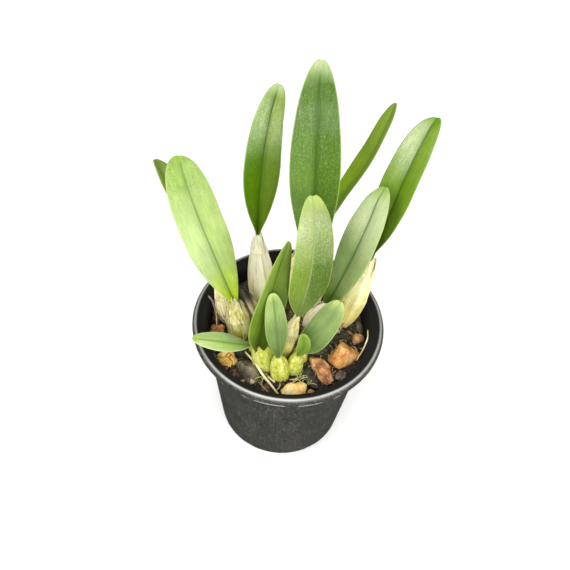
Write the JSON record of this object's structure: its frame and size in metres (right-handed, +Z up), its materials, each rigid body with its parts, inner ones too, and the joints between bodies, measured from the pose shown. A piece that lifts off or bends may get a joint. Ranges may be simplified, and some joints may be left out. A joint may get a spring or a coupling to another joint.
{
  "type": "potted dendrobium aggregatum",
  "caption": "Small potted orchid: upright leathery leaves on swollen ribbed stems, rooted in coarse clay and bark mix in a tapered round black nursery pot.",
  "frame": {"origin": "centre of the pot's flat underside", "axes": "+Z up through the pot, +X to the right and +Y away from the viewer who sees the short new shoots in front"},
  "size_m": [0.1462, 0.1395, 0.2149],
  "materials": {
    "pot_plastic": "moulded black plastic, slightly dusty, with a satin sheen on the rim",
    "potting_mix": "dark, damp, gritty orchid mix",
    "leaf_green": "leathery leaf, mid to dark green, soft gloss",
    "leaf_pale": "leathery leaf, pale yellow-green and mottled, soft gloss",
    "leaf_blue_green": "leathery leaf, grey-green, soft gloss",
    "stem_papery": "ribbed old stem in a dry cream sheath",
    "stem_green": "plump wrinkled young stem, yellow-green",
    "stem_dry": "dry tan stem with brown ribs",
    "rhizome": "brown woody creeping stem",
    "root": "dry pale root",
    "clay": "broken fired clay, orange to ochre, matt",
    "charcoal": "dark grey lump with a dull sheen",
    "bark": "brown bark chip"
  },
  "bodies": {
    "root": {"pot": "pot_plastic", "potting_mix": "potting_mix", "stem_left_large": "stem_papery", "stem_far_left": "stem_papery", "stem_back_left": "stem_papery", "stem_back_centre": "stem_papery", "stem_back_right": "stem_papery", "stem_centre": "stem_papery", "stem_right_large": "stem_papery", "stem_right": "stem_papery", "stem_front_folded": "stem_green", "stem_front_small": "stem_green", "stem_front_round": "stem_green", "stem_front_right": "stem_green", "stem_front_left": "stem_green", "stem_leafless": "stem_dry", "leaf_left_large": "leaf_pale", "leaf_far_left": "leaf_green", "leaf_back_left": "leaf_green", "leaf_back_centre": "leaf_green", "leaf_back_right": "leaf_green", "leaf_centre": "leaf_pale", "leaf_right_large": "leaf_green", "leaf_right": "leaf_blue_green", "leaf_front_folded": "leaf_green", "leaf_front_small": "leaf_blue_green", "leaf_front_round": "leaf_green", "leaf_front_right": "leaf_blue_green", "leaf_front_left": "leaf_green", "rhizome_left": "rhizome", "rhizome_middle": "rhizome", "rhizome_right": "rhizome", "root_front_long": "root", "root_front_short": "root", "root_right_hook": "root", "twig_left": "root", "clay_front": "clay", "clay_round": "clay", "clay_long": "clay", "clay_cracked": "clay", "clay_back_left": "clay", "clay_small_right": "clay", "clay_chip": "clay", "clay_back": "clay", "charcoal_left": "charcoal", "charcoal_middle": "charcoal", "charcoal_right": "charcoal", "charcoal_back_left": "charcoal", "bark_small_left": "bark", "bark_chip_front": "bark", "bark_sliver_right": "bark", "bark_back_left": "bark", "bark_back": "bark", "bark_back_right": "bark"}
  },
  "joints": []
}
